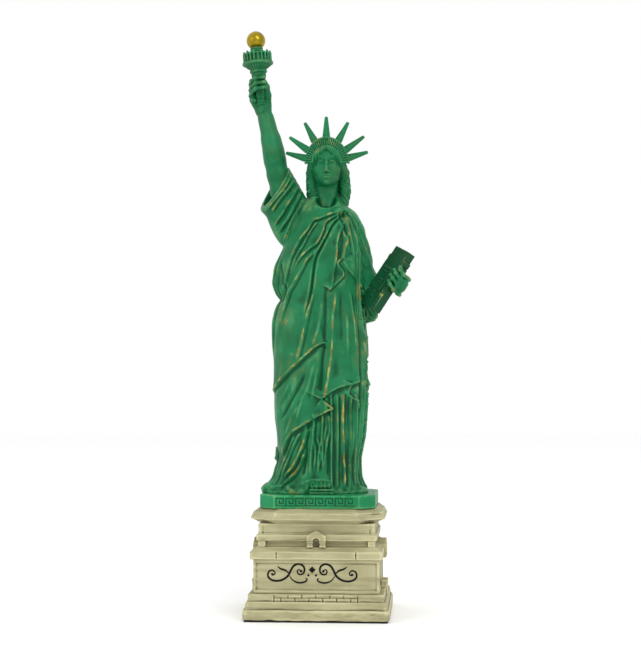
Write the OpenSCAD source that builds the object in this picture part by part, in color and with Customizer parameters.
// Miniature landmark: a robed figure with a raised torch, a crown of rays and a tablet,
// on a plinth and a square pedestal. Cast resin, made in pieces that are glued together.
// Millimetres. +Z is up, the figure faces -Y, and the origin is the middle of the underside.

/* [Pedestal] */
// Width of the lowest step
base_w = 74; // [72:0.5:80]
// Width of the ornamented block
die_w = 63.6; // [60:0.2:66]
// Height of the ornamented block
die_h = 17; // [15:0.5:22]
// Width of the belt course above the block
belt_w = 67; // [66:0.5:69]
// Width of the recessed colonnade wall
loggia_w = 54; // [50:0.5:56]
// Height of the recessed colonnade
loggia_h = 3; // [2:0.5:5]
// Width of the widest part of the top cornice
cornice_w = 69; // [64:0.5:70]
// Cut at each corner of the top cornice
cornice_cut = 12.5; // [8:0.5:14]

/* [Underside] */
// Thickness of the felt pad
pad_h = 1; // [0.5:0.1:2]
// Width of the hollow in the underside
hollow_w = 58; // [40:1:60]
// Depth of the hollow in the underside
hollow_h = 6; // [3:0.5:8]
// Thickness of the closing board
board_h = 2; // [1:0.5:3]

/* [Ornament] */
// Width of the scroll ornament on the front
scroll_w = 48; // [40:1:52]
// Height that the ornament stands proud
scroll_h = 0.4; // [0.2:0.1:0.8]
// Width of a stroke of the ornament
stroke_w = 1; // [0.8:0.1:1.6]

/* [Figure plinth] */
// Width of the plinth under the figure
plinth_w = 59; // [57:0.5:61]
// Cut at each corner of the plinth
plinth_cut = 8; // [2:0.5:10]
// Height of the plinth under the figure
plinth_h = 6.8; // [5:0.2:9]
// Diameter of the spigot under the plinth
spigot_d = 20; // [12:1:24]
// Length of the spigot under the plinth
spigot_h = 6; // [3:0.5:7]

/* [Robe] */
// Height that the pleats stand out
pleat_d = 0.7; // [0:0.1:1.2]
// Number of pleats round the hem
pleats = 18; // [9:1:18]

/* [Torch] */
// Diameter of the ball
ball_d = 9.9; // [9:0.1:11]
// Diameter of the gallery ring
gallery_d = 16; // [14:0.5:18]
// Number of balusters in the gallery
balusters = 16; // [8:1:20]
// Lean of the torch to the side
torch_lean = 4.8; // [0:0.1:6]

/* [Crown] */
// Height of the diadem's top edge above its centre
diadem_r = 13.8; // [13:0.1:15]
// Width of the diadem's fan for its height
fan_width = 0.86; // [0.8:0.01:1]
// Radius at the tips of the rays
ray_tip_r = 24.2; // [20:0.1:28]
// Width of a ray where it leaves the diadem
ray_w = 4.2; // [3:0.1:5]

/* [Tablet] */
// Length of the tablet
tablet_l = 34; // [32:0.5:35]
// Width of the tablet
tablet_w = 14.4; // [13:0.1:15]
// Thickness of the tablet
tablet_t = 5.2; // [4:0.1:6]

/* [Hidden] */

stone = [0.78, 0.74, 0.58];
green = [0.18, 0.49, 0.31];
black = [0.08, 0.08, 0.08];
gold = [0.80, 0.64, 0.20];
steel = [0.62, 0.64, 0.66];

// Heights of the pedestal courses, each on top of the one before
step_1_h = 5;
step_2_h = 4;
brick_h = 3.8;
belt_h = 4.2;
ledge_h = 2;
band_h = 3.2;
frieze_h = 5.5;
cornice_h = 7.3;
step_1_z = pad_h;
step_2_z = step_1_z + step_1_h;
brick_z = step_2_z + step_2_h;
die_z = brick_z + brick_h;
belt_z = die_z + die_h;
ledge_z = belt_z + belt_h;
loggia_z = ledge_z + ledge_h;
band_z = loggia_z + loggia_h;
frieze_z = band_z + band_h;
cornice_z = frieze_z + frieze_h;
plinth_z = cornice_z + cornice_h;
figure_z = plinth_z + plinth_h;

// Widths that follow from the driving ones
step_2_w = base_w - 2;
step_2_top_w = base_w - 3.6;
brick_w = belt_w + 1.6;
ledge_top_w = belt_w - 7;
band_w = 61;
frieze_w = 59;
pad_w = base_w - 2;

// Small details of the pedestal
joint_w = 0.5;
joint_d = 0.5;
BRICKS = 6;
brick_l = 7;
panel_d = 0.5;
corner_block_w = 3.8;
column_w = 2.8;
capital_w = 3.6;
capital_h = 1.2;
gable_w = 9.8;
gable_out = 2.2;
side_out = 1.1;
fit_gap = 0.15;

// Robe outline: height above the plinth, then left, right, front and back of the section
ROBE = [
    [0, -28.5, 23, -21.5, 21],
    [1.5, -28, 23, -21.5, 21],
    [4, -26, 22, -21, 20.5],
    [8, -24, 20.5, -20.5, 20],
    [18, -21.5, 20, -20, 18.5],
    [30, -22.5, 22.5, -20, 18],
    [43.5, -24, 23.5, -20, 17.5],
    [57, -24, 24.5, -20, 17.5],
    [73.5, -24.5, 24, -19.5, 17],
    [88.5, -24.5, 23, -18.5, 16.5],
    [99.5, -22, 22, -17.5, 16],
    [108, -23.5, 22.5, -17.5, 16],
    [117, -23.5, 23, -17.5, 16],
    [125.5, -20.5, 22.5, -16.5, 16],
    [133, -18, 21.5, -15.5, 15.5],
    [141, -15.5, 19.5, -14, 14.5],
    [147, -12, 16, -12, 12.5],
    [151, -8.5, 12.5, -10, 10.5],
    [154.5, -4, 10, -8, 8.5]
];
ROBE_SIDES = 72;
ROBE_POWER = 2.4;
PLEAT_TOP = 100;

// Places on the figure, measured from the plinth top
head_at = [3.8, -2, 173.5];
crown_at = [3.7, 1.5, 171];
torch_at = [-30.7, -5, 200.5];
tablet_at = [35.6, -8, 111];
tablet_lean = 29.4;
tablet_turn = -50;
RAY_ANGLES = [-74, -54, -28, 0, 28, 54, 74];

// Heights along the torch axis from the lowest point of the handle
handle_top = 18.8;
collar_top = 21.2;
cup_top = 24.8;
rail_low = 26.2;
rail_high = 30.4;
ball_h = 36.8;

// ---- helpers ----

module cast(paint) {
    color(paint) translate([0, 0, figure_z]) children();
}

module slab(w, h, z) {
    translate([-w / 2, -w / 2, z]) cube([w, w, h]);
}

// Square course whose four sides slope in from w0 at the bottom to w1 at the top
module sloped_slab(w0, w1, h, z) {
    outline = [[-w0 / 2, 0], [w0 / 2, 0], [w1 / 2, h], [-w1 / 2, h]];
    translate([0, 0, z]) intersection() {
        translate([0, w0 / 2, 0]) rotate([90, 0, 0]) linear_extrude(w0) polygon(outline);
        translate([-w0 / 2, 0, 0]) rotate([90, 0, 90]) linear_extrude(w0) polygon(outline);
    }
}

// Eight-sided course: a square w wide with its corners cut
module cut_square(w, cut) {
    a = w / 2;
    b = a - cut;
    polygon([[-b, -a], [b, -a], [a, -b], [a, b], [b, a], [-b, a], [-a, b], [-a, -b]]);
}

module on_four_sides() {
    for (turn = [0:90:270]) rotate([0, 0, turn]) children();
}

module on_side(turn) {
    rotate([0, 0, turn]) children();
}

// A bead chain: each bead is [x, y, z, radius]
module chain(beads, sides = 20) {
    for (i = [0:len(beads) - 2])
        hull() {
            translate([beads[i][0], beads[i][1], beads[i][2]]) sphere(beads[i][3], $fn = sides);
            translate([beads[i + 1][0], beads[i + 1][1], beads[i + 1][2]])
                sphere(beads[i + 1][3], $fn = sides);
        }
}

module egg(at, half, sides = 28) {
    hull() translate(at) scale(half) sphere(1, $fn = sides);
}

function power(v, p) = sign(v) * pow(abs(v), p);

function robe_ring(row) = [
    for (i = [0:ROBE_SIDES - 1])
        let (
            t = i * 360 / ROBE_SIDES,
            mid_x = (row[1] + row[2]) / 2,
            mid_y = (row[3] + row[4]) / 2,
            fade = max(0, 1 - row[0] / PLEAT_TOP),
            wave = pleat_d * fade * cos(pleats * t),
            a = (row[2] - row[1]) / 2 + wave,
            b = (row[4] - row[3]) / 2 + wave
        )
        [
            mid_x + a * power(cos(t), 2 / ROBE_POWER),
            mid_y + b * power(sin(t), 2 / ROBE_POWER),
            row[0]
        ]
];

// Closed skin through a stack of rings with the same number of points
module skin(rings) {
    n = len(rings[0]);
    last = len(rings) - 1;
    points = [for (ring = rings) for (p = ring) p];
    walls = [
        for (j = [0:last - 1]) for (i = [0:n - 1])
            let (k = (i + 1) % n)
            each [
                [j * n + i, (j + 1) * n + k, j * n + k],
                [j * n + i, (j + 1) * n + i, (j + 1) * n + k]
            ]
    ];
    bottom = [for (i = [0:n - 1]) i];
    top = [for (i = [n - 1:-1:0]) last * n + i];
    polyhedron(points, concat([bottom], walls, [top]));
}

// ---- underside ----

module base_pad() {
    color(black) slab(pad_w, pad_h, 0);
}

module base_board() {
    color([0.45, 0.33, 0.22]) slab(hollow_w, board_h, pad_h);
}

// ---- pedestal ----

module brick_joints() {
    low = -brick_w / 2;
    for (i = [0:BRICKS]) translate([(i - BRICKS / 2) * brick_l - joint_w / 2, low, brick_z + brick_h / 2])
        cube([joint_w, joint_d, brick_h / 2]);
    for (i = [0:BRICKS - 1]) translate([(i + 0.5 - BRICKS / 2) * brick_l - joint_w / 2, low, brick_z])
        cube([joint_w, joint_d, brick_h / 2]);
    translate([-BRICKS * brick_l / 2, low, brick_z + brick_h / 2 - joint_w / 2])
        cube([BRICKS * brick_l, joint_d, joint_w]);
    for (side = [-1, 1]) translate([side * BRICKS * brick_l / 2 - joint_w / 2, low, brick_z])
        cube([joint_w, joint_d, brick_h]);
}

module pedestal_foot() {
    color(stone) difference() {
        union() {
            slab(base_w, step_1_h, step_1_z);
            sloped_slab(step_2_w, step_2_top_w, step_2_h, step_2_z);
            slab(brick_w, brick_h, brick_z);
        }
        on_four_sides() brick_joints();
        slab(hollow_w, hollow_h, pad_h);
    }
}

module pedestal_die() {
    post_w = 1.2;
    color(stone) difference() {
        slab(die_w, die_h, die_z);
        on_four_sides()
            translate([-die_w / 2 + post_w, -die_w / 2, die_z + 1.6])
                cube([die_w - 2 * post_w, panel_d, die_h - 3.2]);
    }
}

// One arc of a stroke, standing on the front panel
module arc_stroke(at, r, from, to) {
    translate(at) rotate([0, 0, from])
        rotate_extrude(angle = to - from) translate([r - stroke_w / 2, 0])
            square([stroke_w, scroll_h]);
}

module half_scroll() {
    s = scroll_w / 48;
    arc_stroke([19 * s, -1.6, 0], 3.2, 0, 290);
    arc_stroke([7.5 * s, 2.4, 0], 3.4, 20, 250);
    translate([8 * s, -1.5, 0]) cube([8 * s, stroke_w, scroll_h]);
    translate([3 * s, 0.2, 0]) cylinder(d = 1.8, h = scroll_h, $fn = 24);
}

module scroll_ornament() {
    panel_y = -die_w / 2 + panel_d;
    color(black) translate([-2, panel_y, die_z + die_h / 2 + 0.5]) rotate([90, 0, 0]) {
        half_scroll();
        mirror([1, 0, 0]) half_scroll();
        translate([0, 3, 0]) rotate([0, 0, 45]) translate([-1.3, -1.3, 0])
            cube([2.6, 2.6, scroll_h]);
    }
}

module pedestal_belt() {
    color(stone) difference() {
        union() {
            slab(belt_w, belt_h, belt_z);
            sloped_slab(belt_w, ledge_top_w, ledge_h, ledge_z);
        }
        on_four_sides() for (x = [-20, 20])
            translate([x - joint_w / 2, -belt_w / 2, belt_z]) cube([joint_w, joint_d, belt_h]);
        portico_seats();
    }
}

module pedestal_loggia() {
    block_at = band_w / 2 - 0.9 - corner_block_w;
    color(stone) difference() {
        union() {
            slab(loggia_w, loggia_h, loggia_z);
            on_four_sides() translate([block_at, block_at, loggia_z])
                cube([corner_block_w, corner_block_w, loggia_h]);
        }
        portico_seats();
    }
}

module pedestal_frieze() {
    color(stone) difference() {
        union() {
            slab(band_w, band_h, band_z);
            slab(frieze_w, frieze_h, frieze_z);
        }
        portico_seats();
    }
}

// The room that the four porticos take out of the courses behind them
module portico_seats() {
    front_portico_block(0);
    front_portico_block(180);
    for (side = [90, 270]) side_portico_block(side);
}

// Gabled portico on two pairs of columns; it stands on the ledge in front of the wall
module front_portico_block(side) {
    on_side(side) translate([0, -band_w / 2 - gable_out, 0]) {
        depth = band_w / 2 + gable_out - loggia_w / 2;
        for (x = [-1, 1]) {
            translate([x * 3.1 - column_w / 2, 0.6, loggia_z]) cube([column_w, depth - 0.6, loggia_h]);
            translate([x * 3.3 - capital_w / 2, 0.2, band_z - capital_h])
                cube([capital_w, depth - 0.2, capital_h]);
        }
        translate([0, depth, 0]) rotate([90, 0, 0]) linear_extrude(depth) polygon([
            [-gable_w / 2, band_z], [gable_w / 2, band_z], [gable_w / 2, band_z + 2.5],
            [0, band_z + 5.5], [-gable_w / 2, band_z + 2.5]
        ]);
    }
}

module side_portico_block(side) {
    out = belt_w / 2 + side_out - loggia_w / 2;
    low = belt_z - 1.3;
    on_side(side) translate([0, -loggia_w / 2, 0]) rotate([90, 0, 0]) linear_extrude(out) polygon([
        [-7, low], [7, low], [7, ledge_z + 1], [0, ledge_z + 4.2], [-7, ledge_z + 1]
    ]);
}

module front_portico() {
    color(stone) front_portico_block(0);
}

module rear_portico() {
    color(stone) front_portico_block(180);
}

module side_portico(side) {
    color(stone) difference() {
        side_portico_block(side);
        slab(die_w, die_h, die_z);
        on_side(side) for (x = [-3.4, 3.4])
            translate([x - 1.7, -belt_w / 2 - side_out - 1, ledge_z - 4]) cube([3.4, 2.2, 4.4]);
    }
}

module left_portico() {
    side_portico(270);
}

module right_portico() {
    side_portico(90);
}

// Door surround at the foot of the block, cut to sit on the step and against the wall
module door_block(side) {
    door_w = 11;
    door_h = 8;
    color(stone) difference() {
        on_side(side) translate([-door_w / 2, -base_w / 2 + 1.8, step_2_z]) cube([door_w, 8, door_h + 4]);
        sloped_slab(step_2_w, step_2_top_w, step_2_h, step_2_z);
        slab(brick_w, brick_h, brick_z);
        slab(die_w, die_h, die_z);
        on_side(side) translate([-2.2, -base_w / 2 - 1, brick_z]) cube([4.4, 3.2, 5.4]);
    }
}

module left_door() {
    door_block(270);
}

module right_door() {
    door_block(90);
}

module rear_door() {
    door_block(180);
}

module pedestal_cornice() {
    w = cornice_w;
    color(stone) difference() {
        union() {
            translate([0, 0, cornice_z]) linear_extrude(1.5) cut_square(w - 6, cornice_cut - 2);
            translate([0, 0, cornice_z + 1.5]) linear_extrude(1.5) cut_square(w, cornice_cut);
            // The top slopes in to the plinth, with the corner cuts kept
            intersection() {
                sloped_slab(w, w - 9, cornice_h - 3, cornice_z + 3);
                translate([0, 0, cornice_z + 3]) linear_extrude(cornice_h - 3)
                    cut_square(w, cornice_cut);
            }
        }
        translate([0, 0, plinth_z - spigot_h])
            cylinder(d = spigot_d + 2 * fit_gap, h = spigot_h + 1, $fn = 48);
    }
}

// ---- figure plinth ----

module figure_plinth() {
    color(green) {
        translate([0, 0, plinth_z]) linear_extrude(plinth_h) cut_square(plinth_w, plinth_cut);
        translate([0, 0, plinth_z - spigot_h]) cylinder(d = spigot_d, h = spigot_h, $fn = 48);
    }
}

// A row of plain bars along the front of the plinth
module plinth_frieze() {
    bar_h = 2.6;
    color(green) for (x = [-18:4:18])
        translate([x - 1, -plinth_w / 2 - 0.4, plinth_z + (plinth_h - bar_h) / 2])
            cube([2, 0.4, bar_h]);
}

// ---- figure ----

module robe() {
    skin([for (row = ROBE) robe_ring(row)]);
}

module figure_body() {
    cast(green) difference() {
        robe();
        arm_pin_hole();
        neck_pin_hole();
    }
}

module foot_form() {
    egg([0, -21, 4.4], [6.4, 6, 4.2]);
    egg([0, -23, 2.6], [6.8, 4.6, 2.8]);
    for (i = [0:4])
        egg([-5.2 + i * 2.5, -27 + abs(i - 1.2) * 0.5, 1.4], [1.5 - i * 0.08, 2.4, 1.5], 16);
    egg([0, -25, 1.6], [6.4, 2.6, 1.8]);
}

module front_foot() {
    cast(green) difference() {
        intersection() {
            foot_form();
            translate([-10, -32, 0]) cube([20, 20, 12]);
        }
        robe();
    }
}

ARM = [
    [-19.5, 0, 156, 6.6], [-21, 0, 160, 6.2], [-22.6, -0.4, 166, 5.6], [-23.9, -0.8, 172, 5.1],
    [-25.2, -1.2, 179, 5.2], [-26.7, -1.6, 185.5, 4.6], [-28.2, -1.8, 190, 4], [-28.9, -2, 193, 3.7],
    [-30, -2, 198, 3.6], [-30.4, -2, 200, 3.6]
];

module arm_form() {
    chain(ARM, 22);
}

module sleeve_form() {
    hull() {
        egg([-10, 0, 141], [10, 12.5, 11]);
        egg([-19, 0, 146], [10, 12, 10]);
    }
    hull() {
        egg([-19, 0, 147], [11, 11.5, 9.5]);
        egg([-23, 0, 154], [8.6, 9.6, 8.4]);
    }
    hull() {
        egg([-22.5, 0, 155], [8.4, 9.4, 8]);
        egg([-21.8, 0, 163.5], [6.4, 6.8, 5]);
    }
    chain([[-12, 0, 150, 9.5], [-15, 0, 160, 7], [-17.5, 0, 167, 4.4]], 22);
    chain([[-21, 0, 137, 5], [-27.5, 0, 148.5, 4.6], [-27.6, 0, 154, 4.4]], 22);
}

module right_sleeve() {
    cast(green) difference() {
        sleeve_form();
        robe();
        arm_form();
        arm_pin_hole();
    }
}

module raised_arm() {
    cast(green) difference() {
        arm_form();
        robe();
        arm_pin_hole();
    }
}

module arm_pin_place() {
    translate([-8, 0, 138]) rotate([0, -32, 0]) children();
}

module arm_pin_hole() {
    arm_pin_place() cylinder(d = 3, h = 34, $fn = 32);
}

module arm_pin() {
    cast(steel) arm_pin_place() cylinder(d = 3, h = 34, $fn = 32);
}

module neck_pin_hole() {
    translate([head_at[0] - 0.6, 0.5, 140]) cylinder(d = 4, h = 24, $fn = 32);
}

module neck_pin() {
    cast(steel) neck_pin_hole();
}

// ---- torch ----

module on_torch() {
    translate(torch_at) rotate([0, -torch_lean, 0]) children();
}

module handle_form() {
    rotate_extrude($fn = 40) polygon([
        [0, 0], [1.2, 0.4], [1.5, 1.2], [1.2, 2.1], [2.1, 2.4], [2.1, 3.2], [1.8, 3.5],
        [2.1, 6], [2.6, 12], [3.6, handle_top], [4.3, handle_top + 0.5], [4.3, collar_top], [0, collar_top]
    ]);
}

module torch_handle() {
    cast(green) on_torch() handle_form();
}

module torch_gallery() {
    r = gallery_d / 2;
    cast(green) on_torch() {
        rotate_extrude($fn = 48) polygon([
            [0, collar_top], [3.9, collar_top], [5.2, collar_top + 1.4], [6.9, cup_top - 0.6],
            [r, cup_top - 0.2], [r, rail_low], [r - 2.6, rail_low], [r - 2.6, cup_top + 0.6],
            [3.4, cup_top + 0.6], [3.1, rail_high + 0.8], [3.5, rail_high + 1.4], [3.1, ball_h - 3.9],
            [0, ball_h - 3.9]
        ]);
        for (i = [0:balusters - 1]) rotate([0, 0, i * 360 / balusters])
            translate([r - 1.3, 0, rail_low]) cylinder(r = 0.55, h = rail_high - rail_low - 0.9, $fn = 16);
        translate([0, 0, rail_high - 0.9]) difference() {
            cylinder(r = r - 0.3, h = 0.9, $fn = 48);
            translate([0, 0, -1]) cylinder(r = r - 2.3, h = 3, $fn = 48);
        }
    }
}

module torch_ball() {
    cast(gold) on_torch() difference() {
        translate([0, 0, ball_h]) sphere(d = ball_d, $fn = 48);
        cylinder(r = 3.1, h = ball_h - 3.9, $fn = 48);
    }
}

// A finger that wraps round the handle at height h, from one angle to another
module wrapped_finger(h, reach, thick, from, to) {
    steps = 5;
    beads = [
        for (i = [0:steps])
            let (a = from + (to - from) * i / steps)
            [reach * cos(a), reach * sin(a), h + 1.4 * cos(a), thick * (1 - 0.04 * i)]
    ];
    chain(beads, 14);
}

module raised_hand() {
    cast(green) difference() {
        union() {
            on_torch() {
                for (i = [0:3]) wrapped_finger(6.6 + i * 3.3, 4 + 0.25 * i, 1.75, 150, 330);
                chain([[0.4, 3.6, -2, 3.4], [0.6, 3.8, 4, 3.8], [1, 3.6, 10, 3.6], [1, 3.6, 15, 3]], 20);
                chain([[3.2, 2.4, 5, 2.6], [4, 0.6, 10, 2.2], [3.2, -2.2, 15, 1.8], [1, -4.2, 17, 1.5]], 14);
            }
        }
        on_torch() handle_form();
        arm_form();
        on_torch() translate([0, 0, collar_top]) cylinder(r = 9, h = 6);
    }
}

// ---- head and crown ----

module head_form() {
    x = head_at[0];
    y = head_at[1];
    z = head_at[2];
    // neck, skull, jaw
    chain([[x - 0.6, 0.5, z - 24, 7], [x - 0.4, 0.4, z - 16, 6], [x, 0.6, z - 8, 5.8]], 24);
    egg([x, y + 0.5, z + 1.5], [8.2, 11, 11]);
    egg([x, y - 3.2, z - 5], [6.6, 7, 8.4]);
    egg([x, y - 8, z - 11], [2.8, 2.6, 2.4], 18);
    // brow, nose, lips
    chain([[x - 4, y - 9, z + 1.6, 1.4], [x, y - 9.9, z + 1.4, 1.4], [x + 4, y - 9, z + 1.6, 1.4]], 14);
    chain([[x, y - 10.2, z + 1, 0.9], [x, y - 11.4, z - 4.6, 1.25]], 14);
    egg([x, y - 9.4, z - 7.2], [2.3, 1.3, 0.7], 16);
    egg([x, y - 9.2, z - 8.4], [2, 1.3, 0.7], 16);
    for (side = [-1, 1]) egg([x + side * 3.3, y - 8.6, z - 0.4], [1.5, 1, 0.8], 14);
    // hair: cap, back knot, locks beside the neck
    egg([x + 0.3, y + 3, z + 2.5], [12, 10.5, 12.5]);
    egg([x + 0.4, y + 11.5, z - 4], [6, 5.5, 5.5]);
    for (side = [-1, 1]) chain([
        [x + side * 9, y - 1, z + 3, 3.6], [x + side * 10, y, z - 3, 3.6],
        [x + side * 9.4, y + 0.6, z - 10, 3.2], [x + side * 8.4, y + 1, z - 18, 2.6]
    ], 16);
}

module diadem_form() {
    intersection() {
        translate([crown_at[0], crown_at[1], crown_at[2]]) difference() {
            cylinder(r = 15.2, h = diadem_r + 1, $fn = 64);
            translate([0, 0, -1]) cylinder(r = 12.9, h = diadem_r + 3, $fn = 64);
        }
        translate([crown_at[0], crown_at[1] - 3, crown_at[2]]) rotate([90, 0, 0]) scale([fan_width, 1, 1]) difference() {
            cylinder(r = diadem_r, h = 20, $fn = 64);
            translate([0, 0, -1]) cylinder(r = 8.5, h = 22, $fn = 64);
        }
    }
}

module head() {
    cast(green) difference() {
        head_form();
        robe();
        sleeve_form();
        diadem_form();
        neck_pin_hole();
    }
}

module crown_diadem() {
    cast(green) diadem_form();
}

// A tapered ray with a diamond section, from the diadem's edge outwards
module crown_ray(i) {
    a = RAY_ANGLES[i - 1];
    edge_r = diadem_r / sqrt(pow(sin(a) / fan_width, 2) + pow(cos(a), 2));
    side_x = edge_r * sin(a);
    ray_y = crown_at[1] - sqrt(pow(14, 2) - pow(side_x * 0.93, 2));
    tip = ray_tip_r - (abs(a) > 60 ? 1.8 : 0);
    cast(green) difference() {
        translate([crown_at[0], ray_y, crown_at[2]]) rotate([0, a, 0]) hull() {
            translate([0, 0, edge_r - 0.2]) scale([ray_w / 2, 1.3, 1]) cylinder(r = 1, h = 0.1, $fn = 4);
            translate([0, 0, tip - 0.1]) scale([0.7, 0.5, 1]) cylinder(r = 1, h = 0.1, $fn = 4);
        }
        diadem_form();
    }
}

// ---- tablet and left arm ----

module on_tablet() {
    translate(tablet_at) rotate([0, tablet_lean, 0]) rotate([0, 0, tablet_turn]) children();
}

module tablet_form() {
    w = tablet_w;
    l = tablet_l;
    translate([-w / 2, -tablet_t / 2, -l / 2]) cube([w, tablet_t, l - 5]);
    translate([-w / 2 + 1, -tablet_t / 2, l / 2 - 5]) cube([w - 2, tablet_t, 5]);
}

module tablet() {
    w = tablet_w;
    cast(green) on_tablet() difference() {
        tablet_form();
        for (z = [-8, 6]) translate([-w / 2 - 1, -tablet_t / 2 - 1, z]) cube([w - 2, 1.3, 0.5]);
        translate([w / 2 - 1.6, -tablet_t / 2 - 1, -tablet_l / 2 - 1]) cube([0.5, 1.3, tablet_l + 2]);
    }
}

module left_arm_form() {
    chain([
        [17.5, 0, 141, 6], [20.5, 0.5, 134, 5.8], [22, 1, 127, 6], [22.6, 1.5, 119, 6.6],
        [23.5, 2, 112, 6], [25, 2.4, 104, 4.6], [25.6, 2.4, 98, 3.6], [25.8, 2.4, 93.6, 3]
    ], 20);
    chain([[24, 2, 112, 6], [31, 3, 107.5, 4.8], [38, 2.5, 106, 4.2]], 20);
}

module left_sleeve() {
    cast(green) difference() {
        left_arm_form();
        robe();
        on_tablet() tablet_form();
    }
}

module hand_form() {
    chain([[38, 2.5, 106, 4], [41.6, -0.6, 107, 4], [43.6, -5.6, 109, 3.8]], 18);
    on_tablet() egg([tablet_w / 2 + 0.6, tablet_t / 2 + 2, -0.4], [3.4, 3.4, 7.2], 20);
    on_tablet() for (i = [0:3]) {
        z = -4.6 + i * 3.1;
        w = tablet_w / 2;
        t = tablet_t / 2;
        chain([
            [w - 2, t + 1.6, z - 1, 1.7], [w + 1.5, t + 0.2, z - 0.4, 1.6], [w + 1.4, -t - 0.2, z, 1.5],
            [w - 1.5, -t - 1.2, z + 0.5, 1.35], [w - 5 + i * 0.5, -t - 0.9, z + 0.9, 1.1]
        ], 12);
    }
}

module left_hand() {
    cast(green) difference() {
        hand_form();
        left_arm_form();
        on_tablet() tablet_form();
        robe();
    }
}

base_pad();
base_board();
pedestal_foot();
pedestal_die();
scroll_ornament();
pedestal_belt();
pedestal_loggia();
pedestal_frieze();
front_portico();
left_portico();
right_portico();
rear_portico();
left_door();
right_door();
rear_door();
pedestal_cornice();
figure_plinth();
plinth_frieze();
figure_body();
front_foot();
right_sleeve();
raised_arm();
raised_hand();
torch_handle();
torch_gallery();
torch_ball();
head();
crown_diadem();
crown_ray(1);  // crown_ray_1
crown_ray(2);  // crown_ray_2
crown_ray(3);  // crown_ray_3
crown_ray(4);  // crown_ray_4
crown_ray(5);  // crown_ray_5
crown_ray(6);  // crown_ray_6
crown_ray(7);  // crown_ray_7
left_sleeve();
left_hand();
tablet();
arm_pin();
neck_pin();
